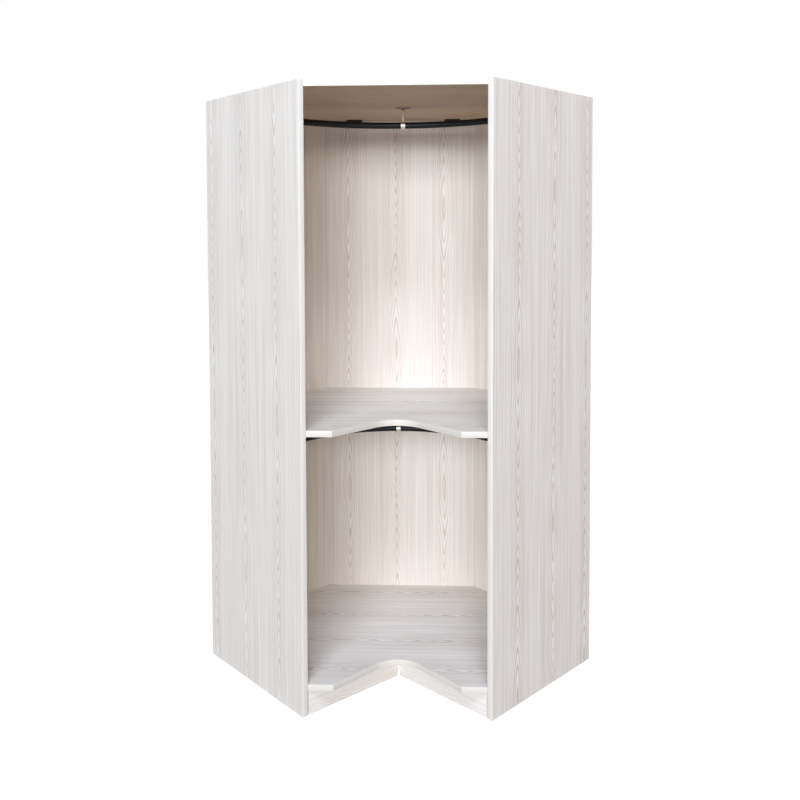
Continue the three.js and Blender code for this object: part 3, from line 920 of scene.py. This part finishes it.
def makeScrew():
    sizes = screwSizes
    radius, height = sizes["headRadius"], sizes["headHeight"]
    rings = [(sizes["foot"] * up, radius * out) for up, out in sizes["profile"]]
    rings.append((sizes["rimHeight"], radius))
    rings += [(height * up, radius * out) for up, out in sizes["crown"]]
    screw = turnedPiece("screwModel", rings, sizes["sides"])
    cutCross(screw, sizes, height, 0)
    smoothByAngle(screw, 30)
    return screw


screwModel = makeScrew()


def screwGroup(name, places, scale, slotName="zinc", finish="zincPlate"):
    # places are (point, outward direction)
    copies = []
    for index, (point, outward) in enumerate(places):
        angle = screwSizes["firstSpin"] + screwSizes["nextSpin"] * index
        place = placement(point, outward) @ Matrix.Rotation(angle, 4, "Z") @ Matrix.Scale(scale, 4)
        copies.append(copyPiece(screwModel, f"{name}{index}", place))
    finishPiece(joinPieces(copies, name), slotName, finishes[finish])


# End sockets of the rails

socketSizes = {
    "flangeRadius": 0.023,
    "flangeThickness": 0.0035,
    "cupWall": 0.003,
    "cupDepth": 0.015,
    "clearance": 0.0003,
    "fillet": 0.0012,         # between flange and cup
    "draft": 0.0004,          # the cup's narrowing to its mouth
    "screwSpacing": 0.038,
    "screwScale": 0.92,
    "edge": 0.0007,
    "sides": 48,
}


def makeSocket():
    sizes = socketSizes
    bore = railSizes["radius"] + sizes["clearance"]
    cup = bore + sizes["cupWall"]
    face = sizes["flangeThickness"]
    socket = turnedPiece("socketModel", [
        (0.0, sizes["flangeRadius"]),
        (face, sizes["flangeRadius"]),
        (face, cup + sizes["fillet"]),
        (face + sizes["fillet"], cup),
        (face + sizes["cupDepth"], cup - sizes["draft"]),
        (face + sizes["cupDepth"], bore),
        (face, bore),
    ], sizes["sides"])
    roundEdges(socket, sizes["edge"], 3)
    smoothByAngle(socket)
    return socket


socketModel = makeSocket()
for railName, place in railPlaces.items():
    for sideName, side in bothSides:
        inward = alongWall(side) * -1
        seat = planPoint(side, wardrobe["boardEnd"], railSizes["reach"], place["axis"])
        name = f"{railName}_{sideName}_end_socket"
        socket = copyPiece(socketModel, name, placement(seat, inward))
        finishPiece(socket, "black_plastic", finishes["mouldedBlack"],
                    f"{railName}_rail_{sideName}_socket")
        face = seat + inward * socketSizes["flangeThickness"]
        spread = upright * (socketSizes["screwSpacing"] / 2)
        screwGroup(name + "_screws", [(face + spread, inward), (face - spread, inward)],
                   socketSizes["screwScale"])
bpy.data.objects.remove(socketModel)
print("end sockets made")


# Centre supports of the rails

supportSizes = {
    "plateLength": 0.060,
    "plateWidth": 0.022,
    "plateThickness": 0.0025,
    "bossRadius": 0.008,
    "bossHeight": 0.006,
    "bossSides": 32,
    "plateRounding": 0.995,   # of half the plate's width
    "plateSteps": 14,
    "postRadius": 0.0046,
    "postSides": 28,
    "postSeat": 0.0012,       # how deep the post stands in the ring
    "seatShare": 0.9,         # of the post's radius
    "collarShare": 1.25,
    "collarHeight": 0.0035,
    "collarEnd": 0.0045,
    "postEdge": 0.0003,
    "screwSpacing": 0.044,
    "screwScale": 1.05,
    "ringWidth": 0.017,
    "ringWall": 0.0022,
    "ringClearance": 0.0007,
    "ringSides": 48,
    "ringEdge": 0.0006,
    "edge": 0.0005,
}


def supportPlate(name):
    sizes = supportSizes
    plate = cubePiece(name, (0, 0, sizes["plateThickness"] / 2),
                      (sizes["plateLength"], sizes["plateWidth"], sizes["plateThickness"]))
    openMesh(plate, "EDGE")
    pick(plate, "edges", lambda edge: abs(edge.verts[0].co.z - edge.verts[1].co.z) > 0.001)
    bpy.ops.mesh.bevel(
        offset=sizes["plateWidth"] / 2 * sizes["plateRounding"], segments=sizes["plateSteps"],
        affect="EDGES", clamp_overlap=True)
    closeMesh()
    boss = turnedPiece("bossModel", [
        (sizes["plateThickness"] / 2, sizes["bossRadius"]),
        (sizes["plateThickness"] + sizes["bossHeight"], sizes["bossRadius"]),
    ], sizes["bossSides"])
    cutAway(plate, boss, "UNION")
    roundEdges(plate, sizes["edge"])
    smoothByAngle(plate)
    return plate


def supportPost(name, length):
    sizes = supportSizes
    radius, collar = sizes["postRadius"], sizes["postRadius"] * sizes["collarShare"]
    post = turnedPiece(name, [
        (-sizes["postSeat"], radius * sizes["seatShare"]),
        (0.0, collar),
        (sizes["collarHeight"], collar),
        (sizes["collarEnd"], radius),
        (length, radius),
    ], sizes["postSides"])
    roundEdges(post, sizes["postEdge"])
    smoothByAngle(post)
    return post


def supportRing(name, outerRadius):
    sizes = supportSizes
    ring = circlePiece(name, sizes["ringSides"], outerRadius, (0, 0, -sizes["ringWidth"] / 2))
    bpy.ops.mesh.extrude_region_move(TRANSFORM_OT_translate={"value": (0, 0, sizes["ringWidth"])})
    turnOutwards()
    closeMesh()
    applyModifier(ring, "SOLIDIFY", thickness=sizes["ringWall"], offset=-1)
    roundEdges(ring, sizes["ringEdge"], 3)
    smoothByAngle(ring)
    return ring


for railName, place in railPlaces.items():
    sizes = supportSizes
    reach = railSizes["reach"] + place["bend"]
    centre = planPoint(1, reach, reach)
    angle = math.asin(place["support"] / place["bend"])
    foot = Vector((place["support"], centre.y + place["bend"] * math.cos(angle), 0))
    tangent = Vector((math.cos(angle), -math.sin(angle), 0))
    plateTop = place["board"] - gap
    plateFace = plateTop - sizes["plateThickness"]
    down = upright * -1

    plate = supportPlate(f"{railName}_centre_plate")
    plate.data.transform(placement(foot + upright * plateTop, down, tangent))
    finishPiece(plate, "nickel", finishes["nickelFlangePaintedShade"], f"{railName}_support_plate")
    screwGroup(f"{railName}_centre_plate_screws", [
        (foot + upright * plateFace + tangent * way * sizes["screwSpacing"] / 2, down)
        for way in (-1, 1)], sizes["screwScale"], "nickel", "nickelPlate")

    ringOuter = railSizes["radius"] + sizes["ringClearance"] + sizes["ringWall"]
    ringTop = place["axis"] + ringOuter
    post = supportPost(f"{railName}_centre_post", plateFace - gap - ringTop)
    post.data.transform(Matrix.Translation(foot + upright * ringTop))
    finishPiece(post, "nickel", finishes["nickelPostPaintedLight"], f"{railName}_support_post")

    ring = supportRing(f"{railName}_centre_ring", ringOuter)
    ring.data.transform(placement(foot + upright * place["axis"], tangent))
    finishPiece(ring, "nickel", finishes["nickelPlate"], f"{railName}_support_saddle")
print("centre supports made")


# Corner blocks between the top and the diagonal back

blockSizes = {
    "length": 0.066,
    "depth": 0.034,
    "height": 0.022,
    "nose": 0.009,
    "screwSpacing": 0.040,
    "screwScale": 0.95,
    "recessRadius": 0.0045,
    "recessTaper": (0.85, 1.1),   # of the radius, at the bottom and outside
    "recessDepth": 0.004,
    "recessSides": 24,
    "edge": 0.0012,
}
blockOffsets = {"left": -0.196, "right": 0.229}
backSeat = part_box("diagonal_back_panel")[0].y - gap


def cornerBlock(name):
    # made with the top's face at z 0 and the back's face at y 0
    sizes = blockSizes
    depth, height, nose = sizes["depth"], sizes["height"], sizes["nose"]
    block = cubePiece(name, (0, -depth / 2, -height / 2), (sizes["length"], depth, height))
    slope = Vector((0, nose - height, nose - depth)).normalized()
    cutByPlanes(block, [(Vector((0, -depth, -nose)), slope)])
    middle = Vector((0, -(depth + nose) / 2, -(height + nose) / 2))
    narrow, wide = sizes["recessTaper"]
    screws = []
    for way in (-1, 1):
        spot = middle + rightward * way * sizes["screwSpacing"] / 2
        recess = turnedPiece("recessModel", [
            (-sizes["recessDepth"], sizes["recessRadius"] * narrow),
            (sizes["recessDepth"], sizes["recessRadius"] * wide),
        ], sizes["recessSides"])
        recess.data.transform(placement(spot, slope, rightward))
        cutAway(block, recess)
        screws.append((spot - slope * sizes["recessDepth"], slope))
    roundEdges(block, sizes["edge"], 2, 50)
    smoothByAngle(block, 25)
    return block, screws


for sideName, offset in blockOffsets.items():
    block, screws = cornerBlock(f"{sideName}_top_block")
    seat = Vector((offset, backSeat, wardrobe["topUnderside"] - gap))
    block.data.transform(Matrix.Translation(seat))
    finishPiece(block, "black_plastic", finishes["mouldedBlack"], f"{sideName}_corner_block")
    screwGroup(f"{sideName}_top_block_screws", [(seat + spot, outward) for spot, outward in screws],
               blockSizes["screwScale"])
print("corner blocks made")


# White cap on the diagonal back, beside the left block

backCapSizes = {
    "radius": 0.0045,
    "height": 0.0016,
    "rim": 0.6,               # of the height
    "crown": 0.72,            # of the radius
    "sides": 28,
    "edge": 0.0005,
    "across": -0.157,
    "belowTop": 0.0125,
}


def backCap():
    sizes = backCapSizes
    cap = turnedPiece("back_cap", [
        (0, sizes["radius"]),
        (sizes["height"] * sizes["rim"], sizes["radius"]),
        (sizes["height"], sizes["radius"] * sizes["crown"]),
    ], sizes["sides"])
    roundEdges(cap, sizes["edge"])
    smoothByAngle(cap)
    seat = Vector((sizes["across"], backSeat, wardrobe["topUnderside"] - sizes["belowTop"]))
    cap.data.transform(placement(seat, -rearward))
    finishPiece(cap, "white_edge", finishes["whiteStripPlastic"])


backCap()
print("back cap made")


# Screws through the backs into the shelf and the bottom, sunk below the outer faces

rearScrews = {
    "pocketRadius": 0.0052,
    "pocketDepth": 0.0019,
    "pocketSides": 24,
    "screwScale": 1.1,
    "wallSpots": (0.56, 0.78, 1.00),    # along a wall from the room's corner
    "cornerSpots": (-0.26, 0.0, 0.26),
}


def rearScrewSpots():
    # for each back the way that its outer face looks, and the points on it
    levels = [wardrobe[name] + wardrobe["boardThickness"] / 2
              for name in ("shelfUnderside", "bottomUnderside")]
    rear = wardrobe["middleReach"] - outerBackReach
    spots = {"corner_back": (rearward, [
        Vector((x, rear, level)) for x in rearScrews["cornerSpots"] for level in levels])}
    for sideName, side in bothSides:
        spots[sideName + "_wall_back"] = (-outOfWall(side), [
            planPoint(side, along, 0, level)
            for along in rearScrews["wallSpots"] for level in levels])
    return spots


for backName, (outward, points) in rearScrewSpots().items():
    radius, depth = rearScrews["pocketRadius"], rearScrews["pocketDepth"]
    spots = [placement(point, outward) for point in points]
    cutPockets(bpy.data.objects[backName], spots, radius, depth, rearScrews["pocketSides"])
    screwGroup(backName + "_screws", [(point - outward * depth, outward) for point in points],
               rearScrews["screwScale"])
print("rear screws made")
bpy.data.objects.remove(screwModel)


# Floor, light and camera

stageSizes = {
    "floor": 60.0,
    "level": -0.0002,
    "clearRadius": 0.9,       # to here the floor shows the shadow in full, and past the next none
    "fadeRadius": 1.9,
    "clearShare": 0.82,       # of plain white within the first
    "closedFade": 0.004,
    "bounce": (0.26, 0.24, 0.22),
    "pale": (0.9, 0.9, 0.9),
    "glow": 1.12,
    "ambient": 0.02,
}


def closedSpace(w, place):
    # 1 on the floor behind the plinth, where the boards keep the light out
    inner, _, facing = plinthLine(1)
    walls = [(inner - facing * wardrobe["backThickness"], facing),
             (planPoint(1, wardrobe["innerSide"], 0), alongWall(1)),
             (planPoint(1, 0, 0), -outOfWall(1)),
             (onDiagonal(innerBackReach), rearward)]
    folded = w.combine(w.dot(place, rightward).reckon("ABSOLUTE"), w.dot(place, rearward), 0.0)
    depth = 1.0
    for point, outward in walls:
        depth = (point.dot(outward) - w.dot(folded, outward)).reckon("MINIMUM", depth)
    return (depth / stageSizes["closedFade"]).clamped()


def makeFloor():
    selectNothing()
    sizes = stageSizes
    bpy.ops.mesh.primitive_plane_add(size=sizes["floor"], location=(0, 0, sizes["level"]))
    floor = bpy.context.active_object
    floor.name = "floor"
    material = bpy.data.materials.new("paleFloor")
    w = Wiring(material)
    direct = w.directRays()
    place = w.place()
    away = w.node("ShaderNodeVectorMath", {"operation": "LENGTH"}, {0: place}, "Value")
    clear, share = sizes["clearRadius"], sizes["clearShare"]
    far = ((away - clear) / (sizes["fadeRadius"] - clear)).clamped()
    diffuse = w.node("ShaderNodeBsdfDiffuse", None, {
        "Color": w.mix(direct, sizes["bounce"], sizes["pale"])})
    glow = w.node("ShaderNodeEmission", None, {"Color": (1, 1, 1), "Strength": sizes["glow"]})
    glowing = direct * (far * (1 - share) + share) * (1 - closedSpace(w, place))
    w.show(w.node("ShaderNodeMixShader", None, {0: glowing, 1: diffuse, 2: glow}))
    floor.data.materials.append(material)


def makeWorld():
    world = bpy.data.worlds.new("studio")
    bpy.context.scene.world = world
    w = Wiring(world)
    shown = w.node("ShaderNodeBackground", None, {"Color": (1, 1, 1), "Strength": 1.0})
    ambient = w.node("ShaderNodeBackground", None, {
        "Color": (1, 1, 1), "Strength": stageSizes["ambient"]})
    w.show(w.node("ShaderNodeMixShader", None, {0: w.directRays(), 1: ambient, 2: shown}),
           "ShaderNodeOutputWorld")


lampTarget = Vector((0.0, 0.0, 1.3))
lamps = {
    "key": {"place": (-2.9, -19.3, 5.0), "size": (11.0, 7.4), "power": 3950,
            "colour": (0.96, 1.01, 1.08)},
    "overhead": {"place": (-0.3, -7.4, 10.8), "size": (6.0, 4.5), "power": 820,
                 "colour": (0.88, 0.98, 1.20)},
    "rightFill": {"place": (4.6, -10.0, 3.4), "size": (3.0, 3.0), "power": 200,
                  "colour": (1.0, 0.92, 0.82)},
    "rear": {"place": (-2.0, 18.0, 6.0), "size": (9.0, 6.0), "power": 3500,
             "colour": (0.96, 1.0, 1.07)},
}


def makeLamp(name, place, size, power, colour):
    data = bpy.data.lights.new(name, "AREA")
    data.shape = "RECTANGLE"
    data.size, data.size_y = size
    data.energy = power
    data.color = colour
    lamp = bpy.data.objects.new(name, data)
    bpy.context.scene.collection.objects.link(lamp)
    lamp.location = place
    lamp.rotation_euler = (lampTarget - Vector(place)).to_track_quat("-Z", "Y").to_euler()
    lamp.visible_camera = False


makeFloor()
makeWorld()
for lampName, lampValues in lamps.items():
    makeLamp(lampName, **lampValues)

cameraValues = {
    "place": (0.0612, -3.1131, 1.6600),
    "yaw": -0.0347,    # radians to the left of +Y
    "pitch": -0.0411,
    "roll": -0.0038,
    "lens": 35.912,
    "sensor": 36,
    "shiftX": 0.01725,
    "shiftY": -0.16,
}


def makeCamera(values):
    data = bpy.data.cameras.new("photoView")
    data.lens = values["lens"]
    data.sensor_width = values["sensor"]
    data.shift_x = values["shiftX"]
    data.shift_y = values["shiftY"]
    camera = bpy.data.objects.new("photoView", data)
    bpy.context.scene.collection.objects.link(camera)
    yaw, pitch, roll = values["yaw"], values["pitch"], values["roll"]
    forward = Vector((
        math.sin(yaw) * math.cos(pitch), math.cos(yaw) * math.cos(pitch), math.sin(pitch)))
    level = Vector((math.cos(yaw), -math.sin(yaw), 0))
    overhead = level.cross(forward)
    sideways = level * math.cos(roll) + overhead * math.sin(roll)
    upward = overhead * math.cos(roll) - level * math.sin(roll)
    turn = Matrix((sideways, upward, -forward)).transposed().to_4x4()
    camera.matrix_world = Matrix.Translation(values["place"]) @ turn
    bpy.context.scene.camera = camera


makeCamera(cameraValues)
bpy.context.scene.view_settings.view_transform = "Standard"
print("floor, lamps and camera made")
